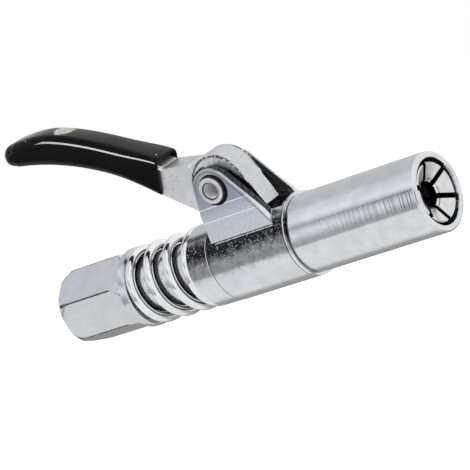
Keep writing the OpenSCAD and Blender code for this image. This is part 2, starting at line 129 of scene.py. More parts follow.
def feed(tree, socket, value):
    """Gives a socket a number, a vector, a colour or a link to a value."""
    if isinstance(value, Value):
        tree.links.new(value.socket, socket)
    elif isinstance(value, tuple):
        socket.default_value = (*value, 1)[:len(socket.default_value)]
    else:
        socket.default_value = value


def new_node(tree, kind, *values, output=0, settings=None, **named):
    """Output of a new node; its inputs go in order or by name, with underscores for spaces."""
    node = tree.nodes.new(kind)
    for label, setting in (settings or {}).items():
        setattr(node, label, setting)
    for socket, value in zip(node.inputs, values):
        feed(tree, socket, value)
    for label, value in named.items():
        feed(tree, node.inputs[label.replace("_", " ")], value)
    return Value(tree, node.outputs[output])


def math_node(tree, operation, *values):
    return new_node(tree, "ShaderNodeMath", *values, settings={"operation": operation})


def vector_node(tree, operation, *values):
    output = "Value" if operation == "LENGTH" else "Vector"
    return new_node(tree, "ShaderNodeVectorMath", *values, output=output, settings={"operation": operation})


def split(tree, vector):
    """The X, Y and Z of a vector."""
    parts = tree.nodes.new("ShaderNodeSeparateXYZ")
    feed(tree, parts.inputs[0], vector)
    return [Value(tree, socket) for socket in parts.outputs]


def object_coords(tree):
    return new_node(tree, "ShaderNodeTexCoord", output="Object")


def mm_coords(tree):
    """Object coordinates in millimetres."""
    return vector_node(tree, "MULTIPLY", object_coords(tree), (1 / MM, 1 / MM, 1 / MM))


def noise(tree, scale, detail=3.0, rough=0.5, coords=None):
    """Soft noise from 0 to 1; the scale is in lumps per millimetre."""
    return new_node(tree, "ShaderNodeTexNoise", output="Fac", Vector=coords or mm_coords(tree), Scale=scale,
                    Detail=detail, Roughness=rough)


# Places of the mix node's sockets when it mixes colours
MIX_SHARE, MIX_A, MIX_B, MIX_RESULT = 0, 6, 7, 2


def mix_colour(tree, share, a, b):
    """Colour a where the share is 0, and b where it is 1."""
    node = tree.nodes.new("ShaderNodeMix")
    node.data_type = "RGBA"
    for place, value in ((MIX_SHARE, share), (MIX_A, a), (MIX_B, b)):
        feed(tree, node.inputs[place], value)
    return Value(tree, node.outputs[MIX_RESULT])


def tone_ramp(tree, value, stops):
    """Colour that changes with a value, through (value, colour) stops."""
    low, high = stops[0][0], stops[-1][0]
    ramp = tree.nodes.new("ShaderNodeValToRGB")
    while len(ramp.color_ramp.elements) < len(stops):
        ramp.color_ramp.elements.new(0.5)
    for element, (place, tone) in zip(ramp.color_ramp.elements, stops):
        element.position = (place - low) / (high - low)
        element.color = (*tone, 1)
    feed(tree, ramp.inputs[0], value.rise(low, high))
    return Value(tree, ramp.outputs[0])


def axis_parts(tree):
    """X, the distance to the side and Z in millimetres, all from the object's own axes."""
    along, across, up = split(tree, mm_coords(tree))
    return along, abs(across), up


def distance(first, second, middle=(0.0, 0.0)):
    """Distance from a middle in the plane of two values."""
    return ((first - middle[0]) ** 2.0 + (second - middle[1]) ** 2.0).math("SQRT")


def angle_of(up, across):
    return up.math("ARCTAN2", across)


def stripe(value, middle, half):
    """1 at the middle, falling to 0 at half on both sides."""
    return abs(value - middle).fall(0.0, half)


# Effects that the finishes share
def group_ends(tree, labels):
    """Inputs of a node group as values by name, and the socket of its output."""
    sockets = tree.nodes.new("NodeGroupInput").outputs
    values = {label: Value(tree, sockets[label]) for label in labels}
    return values, tree.nodes.new("NodeGroupOutput").inputs[0]


def new_group(name, inputs, output, kind="NodeSocketFloat"):
    """Shader node group with one output: its tree, its inputs as values by name and its output socket."""
    tree = bpy.data.node_groups.new(name, "ShaderNodeTree")
    for label, value in inputs.items():
        given = "NodeSocketColor" if isinstance(value, tuple) else "NodeSocketFloat"
        socket = tree.interface.new_socket(name=label, in_out="INPUT", socket_type=given)
        socket.default_value = value
    tree.interface.new_socket(name=output, in_out="OUTPUT", socket_type=kind)
    return tree, *group_ends(tree, inputs)


def make_grain():
    """Fine uneven grain, stretched along X by Stretch."""
    tree, given, out = new_group("surface_grain", {"Scale": 2.0, "Stretch": 1.0}, "Grain")
    stretch = new_node(tree, "ShaderNodeCombineXYZ", 1.0 / given["Stretch"], 1.0, 1.0)
    coords = vector_node(tree, "MULTIPLY", mm_coords(tree), stretch)
    feed(tree, out, noise(tree, given["Scale"], 4.0, 0.6, coords))
    return tree


def make_rings():
    """Turning marks: uneven rings round the X axis, Pitch apart in millimetres."""
    tree, given, out = new_group("turning_rings", {"Pitch": 0.3, "Wander": 0.1}, "Rings")
    along = split(tree, mm_coords(tree))[0] + noise(tree, 0.25, 2.0) * given["Wander"]
    feed(tree, out, new_node(tree, "ShaderNodeTexNoise", output="Fac", settings={"noise_dimensions": "1D"},
                             Scale=1.0, Detail=2.0, W=along / given["Pitch"]))
    return tree


def make_specks():
    """Sparse specks: 1 inside a speck, 0 outside. Cover is the share of cells that hold one."""
    tree, given, out = new_group("specks", {"Scale": 1.5, "Size": 0.2, "Cover": 0.3}, "Mask")
    cell = tree.nodes.new("ShaderNodeTexVoronoi")
    feed(tree, cell.inputs["Vector"], mm_coords(tree))
    feed(tree, cell.inputs["Scale"], given["Scale"])
    pick = new_node(tree, "ShaderNodeSeparateColor", Value(tree, cell.outputs["Color"]))
    near = Value(tree, cell.outputs["Distance"]) < given["Size"]
    feed(tree, out, near * (pick < given["Cover"]))
    return tree


def make_patches():
    """Two tones mixed in soft patches of the given size in millimetres."""
    tones = {"Tone A": (0.7, 0.7, 0.7, 1), "Tone B": (0.6, 0.6, 0.6, 1)}
    tree, given, out = new_group("tone_patches", {**tones, "Size": 6.0}, "Tone", "NodeSocketColor")
    spread = noise(tree, 1.0 / given["Size"], 5.0, 0.62).rise(0.38, 0.62)
    feed(tree, out, mix_colour(tree, spread, given["Tone A"], given["Tone B"]))
    return tree


GRAIN, RINGS, SPECKS, PATCHES = make_grain(), make_rings(), make_specks(), make_patches()


def use(tree, group, **values):
    """Output of a node group with the given inputs."""
    return new_node(tree, "ShaderNodeGroup", settings={"node_tree": group}, **values)


def new_material(name):
    mat = bpy.data.materials.new(name)
    mat.use_nodes = True
    return mat, mat.node_tree


def material(name, tones, patch, rough, spread, metal=1.0, grain=(2.0, 1.0, 0.0), rings=(0.3, 0.1, 0.0),
             specks=None, specular=0.5, overlay=None):
    """Finish of two tones in patches, with uneven roughness and a bump.

    The patches' size is in millimetres. Grain is (scale, stretch, height), rings are (pitch, wander, height)
    and specks are (scale, size, cover, strength, tone). An overlay takes the tree, colour and height, and
    returns the changed colour and height and a mask of what is dull.
    """
    mat, tree = new_material(name)
    colour = use(tree, PATCHES, Tone_A=tones[0], Tone_B=tones[1], Size=patch)
    fine = use(tree, GRAIN, Scale=grain[0], Stretch=grain[1])
    height = fine * grain[2] + use(tree, RINGS, Pitch=rings[0], Wander=rings[1]) * rings[2]
    roughness = fine.ramp(0.3, 0.7, rough - spread, rough + spread)
    if specks:
        scale, size, cover, strength, tone = specks
        mask = use(tree, SPECKS, Scale=scale, Size=size, Cover=cover)
        colour = mix_colour(tree, mask * strength, colour, tone)
    if overlay:
        colour, height, dull = overlay(tree, colour, height)
        roughness = roughness | dull * 0.85
    bump = new_node(tree, "ShaderNodeBump", Strength=1.0, Distance=MM, Height=height)
    shader = tree.nodes["Principled BSDF"]
    for label, value in (("Base Color", colour), ("Metallic", metal), ("Roughness", roughness),
                         ("Specular IOR Level", specular), ("Normal", bump)):
        feed(tree, shader.inputs[label], value)
    return mat


# Marks, mottle and painted light and shade of each piece
def ear_slope(along, up):
    """Distance out from the ears' front slope."""
    return (along - EAR_TOUCH[0]) * EAR_NORMAL[0] + (up - EAR_TOUCH[1]) * EAR_NORMAL[1]


def ear_tone(tree, up):
    """Pale blue of the ears, a tone for each facet and height as painted reflection, with a fine mottle."""
    foot, shoulder, top = 6, 21, 24
    # Painted reflection: each facet and the shoulder lighter or darker with height
    tone = tone_ramp(tree, up, (
        (foot, (0.84, 0.88, 0.93)), (FACET_LOW - FACET_HALF, (0.82, 0.86, 0.92)),
        (FACET_LOW + FACET_HALF, (0.76, 0.81, 0.88)), (FACET_HIGH - FACET_HALF, (0.72, 0.77, 0.85)),
        (FACET_HIGH + FACET_HALF, (0.54, 0.60, 0.69)), (shoulder, (0.54, 0.60, 0.69)),
        (top, (0.84, 0.87, 0.91))))
    fine = noise(tree, 4.5, 2.0, 0.7).ramp(0.36, 0.64, 0.0, 0.55)
    return mix_colour(tree, fine, tone, (0.42, 0.46, 0.53))


def ear_shade(tree, ear, pits):
    """Painted shade: a dark outline of the ears, a painted shadow of the rivet's head beside it, and shade on
    the far ear's front edge.
    """
    along, side, up = axis_parts(tree)
    across = split(tree, mm_coords(tree))[1]
    slope = ear_slope(along, up)
    ahead = (along - up * SLOPE_LEAN) > SLOPE_FROM_X
    # Painted shade along the inside of the ears' front slope and round their top
    line_r, line_inset, half = 4.5, 0.62, 0.24
    top = stripe(distance(along, up, PIVOT), line_r, half) * (1.0 - ahead) * (up > 18.0)
    outline = stripe(slope, -line_inset, half) * ahead | top
    # Painted shadow of the rivet's head: a dark crescent on the ears' outer faces
    crescent_middle, crescent_r = (PIVOT_X + 0.45, PIVOT_Z - 0.1), 3.88
    rivet_head_shadow = distance(along, up, crescent_middle) < crescent_r
    near = (outline * 0.75 | rivet_head_shadow) * ear * (side > EAR_FACE)
    # Painted shade on the inner half of the far ear's front edge, mottled
    far = stripe(slope, 0.0, 0.5) * across.rise(4.2, 4.3) * across.fall(6.2, 6.6) * up.rise(9.0, 10.5)
    return near | far * pits.ramp(0.4, 0.62, 1.0, 0.8) * ear


def forging_overlay(tree, colour, height):
    """Rough shoulder with a painted dark reflection, pale blue ears whose facets are toned as painted
    reflection, fine pale lines between them as painted highlights, painted shade on the ears, and painted
    highlight and shade lines at the sleeve's step and front edge.
    """
    along, side, up = axis_parts(tree)
    lean = angle_of(up, side) + (noise(tree, 0.5, 4.0, 0.7) - 0.5) * 0.55
    ear = (distance(side, up) > EAR_FROM_R) * (up > 0.0)
    body = 1.0 - ear
    pits = noise(tree, 1.9, 4.0, 0.8)
    # Rough band on the shoulder: its bump is real, its dark mottled colour is a painted reflection
    rough_band_with_painted_reflection = lean.rise(radians(-9), radians(26)) * lean.fall(radians(45), radians(62)) * body
    colour = mix_colour(tree, rough_band_with_painted_reflection * pits.ramp(0.56, 0.66, 1.0, 0.15), colour, (0.015, 0.016, 0.016))
    # Painted highlights: fine pale lines between the ears' facets, with a slight bump
    facets = (stripe(up, FACET_HIGH, 0.13) | stripe(up, FACET_LOW, 0.13)) * ear
    shade = ear_shade(tree, ear, pits)
    # Painted shade on the inner part of the ears, mottled
    inner_painted_shade = ear * (side < EAR_INSIDE) * pits.ramp(0.38, 0.66, 1.0, 0.72)
    tone = mix_colour(tree, facets * 0.75, ear_tone(tree, up), (0.95, 0.96, 0.98))
    tone = mix_colour(tree, shade, tone, (0.03, 0.032, 0.036))
    tone = mix_colour(tree, inner_painted_shade, tone, (0.012, 0.012, 0.012))
    colour = mix_colour(tree, ear, colour, tone)
    # Painted highlights: pale lines at the sleeve's step and just ahead of its front edge
    pale = stripe(along, SLEEVE_STEP, 0.2) | stripe(along, SLEEVE_FRONT + 0.42, 0.25)
    colour = mix_colour(tree, pale * body, colour, (0.95, 0.95, 0.95))
    # Painted shade: dark lines at the step and the front edge, and a painted shadow behind the ears' heel
    corner = stripe(along, SLEEVE_STEP + 0.9, 0.9) * lean.rise(radians(28), radians(36))
    dark = stripe(along, SLEEVE_STEP + 0.42, 0.18) | stripe(along, SLEEVE_FRONT, 0.2) | corner
    colour = mix_colour(tree, dark * body, colour, (0.02, 0.02, 0.02))
    return colour, height + pits * rough_band_with_painted_reflection * 0.07 + facets * 0.03, shade | inner_painted_shade


def hexagon_overlay(tree, colour, height):
    """Dark line along each corner of the hexagon, wider at its rear end, and a fine mottle."""
    along, across, up = split(tree, mm_coords(tree))
    turn = (angle_of(up, across) - radians(HEX_TURN)).math("WRAP", radians(30), radians(-30))
    corner = abs(turn).fall(radians(0.4), radians(1.9)) * noise(tree, 0.9, 4.0, 0.7).ramp(0.3, 0.5, 0.5, 1.0)
    wedge = abs(turn).fall(radians(1), radians(4)) * along.fall(1.8, 4.2)
    line = (corner | wedge) * along.fall(17.6, 18.6) * along.rise(0.3, 0.6)
    fine = noise(tree, 4.0, 2.0, 0.7).ramp(0.38, 0.62, 0.0, 0.22)
    colour = mix_colour(tree, fine, colour, (0.40, 0.41, 0.44))
    return mix_colour(tree, line * 0.92, colour, (0.02, 0.02, 0.025)), height, line


def barrel_overlay(tree, colour, height):
    """Chatter marks along the tube's shoulder that grow towards the mouth, dark lines beside them, and a
    painted shadow in front of the sleeve.
    """
    along, side, up = axis_parts(tree)
    lean = angle_of(up, side)
    band = lean.rise(radians(0), radians(6)) * lean.fall(radians(20), radians(30))
    marks = use(tree, RINGS, Pitch=0.42, Wander=0.5)
    near = along.ramp(86.0, 108.0, 0.25, 1.0)
    mottle = band * noise(tree, 3.0, 3.0, 0.7).rise(0.42, 0.6) * 0.22
    hatch = band * near * marks.rise(0.48, 0.58) * 0.95
    colour = mix_colour(tree, mottle | hatch, colour, (0.24, 0.25, 0.27))
    broken = noise(tree, 2.2, 3.0, 0.7).rise(0.46, 0.56) * along.ramp(80.0, 108.0, 0.1, 1.0)
    edge = stripe(lean, radians(25.5), radians(2.2)) * broken * (along < MOUTH_EDGE)
    colour = mix_colour(tree, edge, colour, (0.03, 0.03, 0.035))
    # Painted shadow: a dark ring on the tube just ahead of the sleeve's front edge
    colour = mix_colour(tree, stripe(along, SLEEVE_FRONT + 0.95, 0.3), colour, (0.03, 0.03, 0.03))
    return colour, height + band * near * marks * 0.008, edge


def casting_overlay(tree, colour, height):
    """Fine noise over the lever's cast skin, a broken line of painted shade round its hub and painted shade
    along the ears.
    """
    along, side, up = axis_parts(tree)
    flank = side > LEVER_FLANK
    broken = noise(tree, 1.3, 4.0, 0.75).rise(0.42, 0.5)
    away = distance(along, up, PIVOT)
    # Painted shade: a broken dark line round the hub on the flanks
    rim = stripe(away, HUB_R - 0.5, 0.45).rise(0.2, 0.5) * flank * broken
    colour = mix_colour(tree, rim * 0.95, colour, (0.02, 0.02, 0.02))
    fine = noise(tree, 4.5, 2.0, 0.7).ramp(0.36, 0.64, 0.0, 0.4)
    colour = mix_colour(tree, fine, colour, (0.50, 0.51, 0.53))
    colour = mix_colour(tree, side.ramp(3.2, 3.6, 0.5, 0.0), colour, (0.44, 0.45, 0.465))
    # Painted shade on the flanks beside the ears' front slope and behind the pivot
    slope = ear_slope(along, up)
    ragged = slope + noise(tree, 1.0, 4.0, 0.7)
    ahead = ragged.fall(0.9, 1.1) * (slope > -1.0) * up.fall(21.0, 21.6)
    arc_middle, arc_r = (PIVOT_X - 1.9, PIVOT_Z - 0.4), 5.45
    arc = stripe(distance(along, up, arc_middle), arc_r, 0.4).rise(0.0, 0.5)
    behind = arc * (along < PIVOT_X - 1.5) * up.rise(16.5, 17.5) * broken.ramp(0.0, 1.0, 1.0, 0.75)
    shade_beside_ears = (ahead | behind) * flank
    return mix_colour(tree, shade_beside_ears, colour, (0.015, 0.015, 0.016)), height, shade_beside_ears | rim


def wire_overlay(tree, colour, height):
    """Painted shade on the coils' inner side, next to the stem."""
    side, up = axis_parts(tree)[1:]
    # Painted shade, darkest on the coils' inner side
    painted_shade_marks = distance(side, up).ramp(8.1, 8.4, 0.85, 0.0)
    return mix_colour(tree, painted_shade_marks, colour, (0.02, 0.02, 0.022)), height, painted_shade_marks * 0.6


def jaw_overlay(tree, colour, height):
    """Black painted shade in the throat and along the slots, and a fine turned ring beside the throat."""
    side, up = axis_parts(tree)[1:]
    away = distance(side, up)
    throat_r, ring_r, slot_half = 3.0, 3.5, 0.61
    throat = (away + (noise(tree, 1.5, 3.0) - 0.5) * 0.3).fall(throat_r, throat_r + 0.1)
    ring = stripe(away, ring_r, 0.14).ramp(0.0, 0.6, 0.0, 0.75) * noise(tree, 2.5, 3.0).rise(0.42, 0.5)
    from_slant = abs(side * sin(radians(30)) - abs(up) * cos(radians(30)))
    slot = side.math("MINIMUM", from_slant).fall(slot_half, slot_half + 0.06)
    # Painted shade in the throat and the slots, together with the fine ring
    painted_shade_marks = throat | ring | slot
    return mix_colour(tree, painted_shade_marks, colour, (0.002, 0.002, 0.002)), height, painted_shade_marks


def rivet_overlay(tree, colour, height):
    """Painted shade round the hollow rivet's mouth and round the edge of its head."""
    along, side, up = axis_parts(tree)
    away = distance(along, up, PIVOT)
    mouth_r, head_r = 2.0, 3.4
    # Painted shade in two dark rings
    rings = (stripe(away, mouth_r, 0.4) | stripe(away, head_r, 0.3)).rise(0.0, 0.7) * (side > EAR_FACE)
    return mix_colour(tree, rings * 0.9, colour, (0.03, 0.03, 0.035)), height, rings


# Handle's curve: its centre in the plane of the lever, its radius and the angle of its root
HANDLE_R = 80.0
ROOT = radians(49.1)
CENTRE = (PIVOT_X - 15.25 - HANDLE_R * cos(ROOT), PIVOT_Z + 5.97 - HANDLE_R * sin(ROOT))

# Painted highlight patch on the grip: its middle along and out from the curve and to the side, and its half
# lengths
PATCH_AT, PATCH_HALF = (29.6, 3.9, 1.4), (3.0, 3.9, 3.0)


def grip_point(along, out, side):
    """Point at a distance along the handle's curve from its root, out from the curve and to one side."""
    angle = ROOT + along / HANDLE_R
    radius = HANDLE_R + out
    return (CENTRE[0] + radius * cos(angle), side, CENTRE[1] + radius * sin(angle))


def vinyl_overlay(tree, colour, height):
    """Pale painted highlight on top of the grip, near its tip."""
    off = vector_node(tree, "SUBTRACT", mm_coords(tree), grip_point(*PATCH_AT))
    off = vector_node(tree, "DIVIDE", off, PATCH_HALF)
    ragged = vector_node(tree, "LENGTH", off) + (noise(tree, 0.7) - 0.5) * 0.7
    # Painted highlight: a ragged pale patch
    painted_highlight = ragged.fall(0.72, 1.0) * noise(tree, 1.6).ramp(0.35, 0.6, 0.7, 1.0)
    return mix_colour(tree, painted_highlight, colour, (0.60, 0.63, 0.56)), height, painted_highlight


# Finishes
FORGING = material("plated_forging", ((0.72, 0.75, 0.785), (0.64, 0.665, 0.70)), patch=5.0, rough=0.15,
                   spread=0.04, grain=(1.6, 1.6, 0.010), rings=(0.35, 0.4, 0.003), overlay=forging_overlay)
PLATED = material("plated_steel", ((0.71, 0.74, 0.78), (0.62, 0.645, 0.68)), patch=5.0, rough=0.2,
                  spread=0.06, grain=(1.6, 1.6, 0.012), rings=(0.35, 0.4, 0.006))
BARREL = material("plated_barrel", ((0.73, 0.76, 0.79), (0.65, 0.675, 0.70)), patch=4.0, rough=0.12,
                  spread=0.03, grain=(2.2, 0.5, 0.003), rings=(0.25, 0.3, 0.003), overlay=barrel_overlay)
RIVET = material("rivet_steel", ((0.76, 0.76, 0.78), (0.68, 0.68, 0.70)), patch=1.5, rough=0.3, spread=0.06,
                 grain=(3.0, 1.0, 0.006), overlay=rivet_overlay)
# Pale bore as painted light for the brightness seen through the hollow rivet
BORE = material("rivet_bore", ((0.86, 0.87, 0.86), (0.72, 0.73, 0.72)), patch=0.8, rough=0.5, spread=0.1,
                metal=0.25, grain=(3.0, 1.0, 0.02), rings=(0.3, 0.1, 0.02))
HEX = material("plated_hexagon", ((0.70, 0.72, 0.745), (0.63, 0.665, 0.70)), patch=5.0, rough=0.17,
               spread=0.05, grain=(1.3, 1.4, 0.002), rings=(0.4, 0.6, 0.001), overlay=hexagon_overlay)
CAST = material("lever_casting", ((0.94, 0.955, 0.965), (0.83, 0.85, 0.865)), patch=2.5, rough=0.40,
                spread=0.08, grain=(2.6, 1.0, 0.04), specks=(1.1, 0.20, 0.30, 0.8, (0.10, 0.10, 0.11)),
                overlay=casting_overlay)
WIRE = material("spring_wire", ((0.86, 0.87, 0.88), (0.78, 0.79, 0.80)), patch=2.0, rough=0.12, spread=0.03,
                grain=(2.0, 1.0, 0.001), rings=(0.4, 0.5, 0.0), overlay=wire_overlay)
VINYL = material("grip_vinyl", ((0.0012, 0.0012, 0.0013), (0.003, 0.003, 0.0035)), patch=9.0, rough=0.07,
                 spread=0.02, metal=0.0, grain=(0.35, 1.5, 0.02), rings=(0.5, 0.5, 0.0),
                 specks=(0.5, 0.12, 0.10, 0.9, (0.6, 0.6, 0.6)), specular=0.10, overlay=vinyl_overlay)
STEM = material("stem_steel", ((0.80, 0.81, 0.82), (0.70, 0.71, 0.73)), patch=3.0, rough=0.16, spread=0.05,
                grain=(2.0, 1.0, 0.006), rings=(0.3, 0.2, 0.010))
JAW = material("jaw_steel", ((0.74, 0.74, 0.74), (0.64, 0.65, 0.66)), patch=1.5, rough=0.22, spread=0.07,
               grain=(3.5, 1.0, 0.012), rings=(0.25, 0.1, 0.006), overlay=jaw_overlay)
DARK = material("dark_steel", ((0.10, 0.10, 0.105), (0.16, 0.16, 0.165)), patch=2.0, rough=0.32, spread=0.08,
                grain=(3.0, 1.0, 0.01))
BRASS = material("valve_brass", ((0.75, 0.58, 0.28), (0.66, 0.50, 0.24)), patch=2.0, rough=0.26, spread=0.06,
                 grain=(3.0, 1.0, 0.006), rings=(0.25, 0.1, 0.008))
RUBBER = material("seal_rubber", ((0.022, 0.022, 0.022), (0.035, 0.035, 0.035)), patch=2.0, rough=0.62,
                  spread=0.08, metal=0.0, grain=(3.0, 1.0, 0.02))
FIBRE = material("gasket_fibre", ((0.42, 0.17, 0.10), (0.30, 0.12, 0.07)), patch=1.2, rough=0.8, spread=0.08,
                 metal=0.0, grain=(4.0, 1.0, 0.03))


def paint(obj, mat):
    obj.data.materials.clear()
    obj.data.materials.append(mat)


def new_object(name, mesh, mat, body, slot, *stands_for):
    """Finished piece, riding on a body and standing for its CAD nodes."""
    obj = bpy.data.objects.new(name, mesh)
    bpy.context.scene.collection.objects.link(obj)
    paint(obj, mat)
    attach(obj, body)
    if stands_for:
        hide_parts(*stands_for)
    return obj


def frozen(obj, name):
    """Mesh of an object with its modifiers applied; the object goes."""
    bpy.context.view_layer.update()
    mesh = bpy.data.meshes.new_from_object(obj.evaluated_get(bpy.context.evaluated_depsgraph_get()))
    bpy.data.objects.remove(obj)
    mesh.name = name
    return mesh


# Softened copies of the solids: what counts as one point, as flat, as an edge to round and as a crease
WELD, FLAT, EDGE_FROM, CREASE_FROM = 0.002 * MM, radians(0.8), radians(28), radians(50)


def softened(node, name, width, mat, body, slot):
    """Copy of a CAD node's mesh with its sharp edges rounded."""
    bm = bmesh.new()
    bm.from_mesh(nodes[node].data)
    bmesh.ops.remove_doubles(bm, verts=bm.verts, dist=WELD)
    bmesh.ops.dissolve_limit(bm, angle_limit=FLAT, verts=bm.verts, edges=bm.edges,
                             use_dissolve_boundaries=False)
    sharp = [e for e in bm.edges if len(e.link_faces) == 2 and e.calc_face_angle(0) > EDGE_FROM]
    bmesh.ops.bevel(bm, geom=sharp, offset=width * MM, offset_type="OFFSET", segments=3, profile=0.5,
                    affect="EDGES", clamp_overlap=True)
    bmesh.ops.triangulate(bm, faces=[f for f in bm.faces if len(f.verts) > 4])
    bmesh.ops.recalc_face_normals(bm, faces=bm.faces)
    mesh = bpy.data.meshes.new(name)
    bm.to_mesh(mesh)
    bm.free()
    mesh.shade_smooth()
    mesh.set_sharp_from_angle(angle=CREASE_FROM)
    rough = bpy.data.objects.new(name + "_rough", mesh)
    bpy.context.scene.collection.objects.link(rough)
    weigh = rough.modifiers.new("weigh", "WEIGHTED_NORMAL")
    weigh.keep_sharp = True
    weigh.weight = 90
    return new_object(name, frozen(rough, name), mat, body, slot, node)


softened("clevis_sleeve", "sleeve_forging", 0.16, FORGING, "sleeve", "plated_steel")
softened("front_tube", "front_barrel", 0.12, BARREL, "sleeve", "plated_steel")
softened("lever_arm", "lever_casting_piece", 0.45, CAST, "lever", "lever_steel")
softened("pivot_rivet", "rivet_tube", 0.08, RIVET, "sleeve", "plated_steel")
for k in range(1, 7):
    softened(f"jaw_{k}", f"jaw_{k}_bright", 0.08, JAW, f"jaw_{k}", "jaw_steel")


# Lofted pieces
def loft(name, rings, looped=False):
    """Mesh from closed rings joined in order: the last joins the first, or else both ends are filled."""
    count, last = len(rings[0]), len(rings) - 1
    joins = [(i, i + 1) for i in range(last)]
    joins += [(last, 0)] if looped else []
    faces = []
    for a, b in joins:
        for k in range(count):
            j = (k + 1) % count
            faces.append((a * count + k, a * count + j, b * count + j, b * count + k))
    if not looped:
        faces.append(tuple(range(count))[::-1])
        faces.append(tuple(last * count + k for k in range(count)))
    mesh = bpy.data.meshes.new(name)
    mesh.from_pydata([(x * MM, y * MM, z * MM) for ring in rings for x, y, z in ring], [], faces)
    bm = bmesh.new()
    bm.from_mesh(mesh)
    bmesh.ops.recalc_face_normals(bm, faces=bm.faces)
    bm.to_mesh(mesh)
    bm.free()
    mesh.shade_smooth()
    return mesh


def soft_min(a, b, blend):
    """The lesser of two lengths, with a smooth change from one to the other."""
    share = max(blend - abs(a - b), 0) / blend
    return min(a, b) - share * share * blend / 4


# Hexagon adapter: half the hexagon's width, the rounding of its corners, and its blend into the turned ends
HEX_HALF, HEX_ROUND, HEX_BLEND = 8.7, 0.4, 0.14
# Radii of the turned bar, of the corners and faces at the ends, and of the collar
BAR_R, CORNER_R, FACE_R, COLLAR_R = 10.25, 10.05, 8.9, 10.0
# The collar's rounded edges, behind and ahead: distances from its face and below its radius
EDGE_BEHIND = ((0.01, 0.45), (0.05, 0.24), (0.14, 0.10), (0.28, 0.02), (0.45, 0))
EDGE_AHEAD = ((0.9, 0), (0.4, 0), (0.26, 0.03), (0.12, 0.13), (0.03, 0.28), (0, 0.45))
# Along X: rear edge and chamfer, end of the straight corners, shoulder, spring's seat and gasket's seat
REAR_EDGE, REAR_CHAMFER, STRAIGHT, SHOULDER, SEAT, GASKET_SEAT = 0.3, 3.0, 18.7, 20.9, 23.3, 13.8
# How far the rear edge starts inside the chamfer, and the height of its curve beside its length
REAR_DROP, REAR_BULGE = 0.12, 0.9
# Thread: core, depth, pitch, rows in one turn, first and last row, and where its run-out ends
CORE_R, THREAD_DEPTH, THREAD_PITCH, THREAD_ROWS = 4.35, 0.55, 0.941, 12
THREAD_FROM, THREAD_TO, THREAD_END, RUN_OUT = 0.75, 11.6, 12.0, 1.5
# Bores of the stem and of the grease way, and where the stem's bore takes a new row
STEM_R, WAY_R, STEM_ROW = 6.05, 2.4, 18.0
# Angles of the points from each corner, close together beside it
CORNER_STEPS = (0, 0.35, 0.8, 1.3, 1.9, 2.6, 3.4, 4.6, 6.5, 9, 12, 16, 20, 25)


def hexagon(theta):
    """Radius of the hexagon with rounded corners in one direction."""
    phi = (theta - HEX_TURN - 30) % 60
    phi = phi - 60 if phi > 30 else phi
    tangent = degrees(atan(tan(radians(30)) * (1 - HEX_ROUND / HEX_HALF)))
    if abs(phi) <= tangent:
        return HEX_HALF / cos(radians(phi))
    off = radians(30 - abs(phi))
    centre = (HEX_HALF - HEX_ROUND) / cos(radians(30))
    return centre * cos(off) + sqrt(max(HEX_ROUND ** 2 - (centre * sin(off)) ** 2, 0))


def hexagon_radius(x, theta):
    """The hexagon, cut by the chamfers turned on both ends and by the rounded rear edge."""
    grow = CORNER_R - FACE_R
    if x < REAR_EDGE:
        rear = FACE_R - REAR_DROP + REAR_BULGE * sqrt(max(REAR_EDGE ** 2 - (REAR_EDGE - x) ** 2, 0))
    else:
        rear = FACE_R + grow * x / REAR_CHAMFER
    front = CORNER_R - grow * (x - STRAIGHT) / (SHOULDER - STRAIGHT)
    return soft_min(hexagon(theta), min(rear, front, BAR_R), HEX_BLEND)


def thread_radius(x, theta):
    """The inlet's thread, fading out towards its end."""
    turn = (x / THREAD_PITCH + theta / 360) % 1
    fade = min(max((THREAD_END - x) / RUN_OUT, 0), 1)
    crest = min(max(1.25 - abs(4 * turn - 2) * 1.25, 0), 1)
    return CORE_R + THREAD_DEPTH * fade * crest + 0.02


def adapter_outline():
    """Rows round the adapter's wall, from the thread's end back to it: X with a radius or its function."""
    step = THREAD_PITCH / THREAD_ROWS
    count = int((THREAD_TO - THREAD_FROM) / step) + 1
    outline = [(THREAD_TO - step * i, thread_radius) for i in range(count)]
    outline += [(0.6, 4.75), (0.3, 5.1), (0.06, 5.34), (0.0, 5.42), (0.0, 6.5), (0.0, 8.2), (0.0, 8.65)]
    rows = [0.02, 0.06, 0.12, 0.2, 0.3, 0.42]
    rows += [0.42 + 0.16 * i for i in range(1, 20)]
    rows += [3.7, 3.9, 4.4, 5.5, 7, 9, 11, 13, 15, 16.8, 17.6, 18.0, 18.2]
    rows += [18.3 + 0.12 * i for i in range(21)]
    outline += [(x, hexagon_radius) for x in rows + [SHOULDER - 0.04]]
    outline += [(SHOULDER, 9.2)] + [(SHOULDER + x, COLLAR_R - drop) for x, drop in EDGE_BEHIND]
    outline += [(SEAT - x, COLLAR_R - drop) for x, drop in EDGE_AHEAD]
    outline += [(SEAT, 8.5), (SEAT, STEM_R), (STEM_ROW, STEM_R)]
    outline += [(GASKET_SEAT + 0.05, STEM_R), (GASKET_SEAT, STEM_R - 0.15)]
    outline += [(GASKET_SEAT - x, WAY_R + r) for x, r in ((0.0, 0.05), (0.1, 0.0), (0.5, 0.0), (0.6, 0.05))]
    return outline + [(THREAD_END + 0.1, CORE_R - 0.15)]


def adapter_rings():
    offsets = sorted({-s for s in CORNER_STEPS} | set(CORNER_STEPS) | {30})
    thetas = [HEX_TURN + 60 * corner + offset for corner in range(6) for offset in offsets]
    rings = []
    for x, r in adapter_outline():
        radii = [r(x, theta) if callable(r) else r for theta in thetas]
        rings.append([(x, radius * cos(radians(theta)), radius * sin(radians(theta)))
                      for radius, theta in zip(radii, thetas)])
    return rings


new_object("hexagon_adapter", loft("hexagon_adapter", adapter_rings(), looped=True), HEX, "inlet",
           "plated_steel", "inlet_adapter")


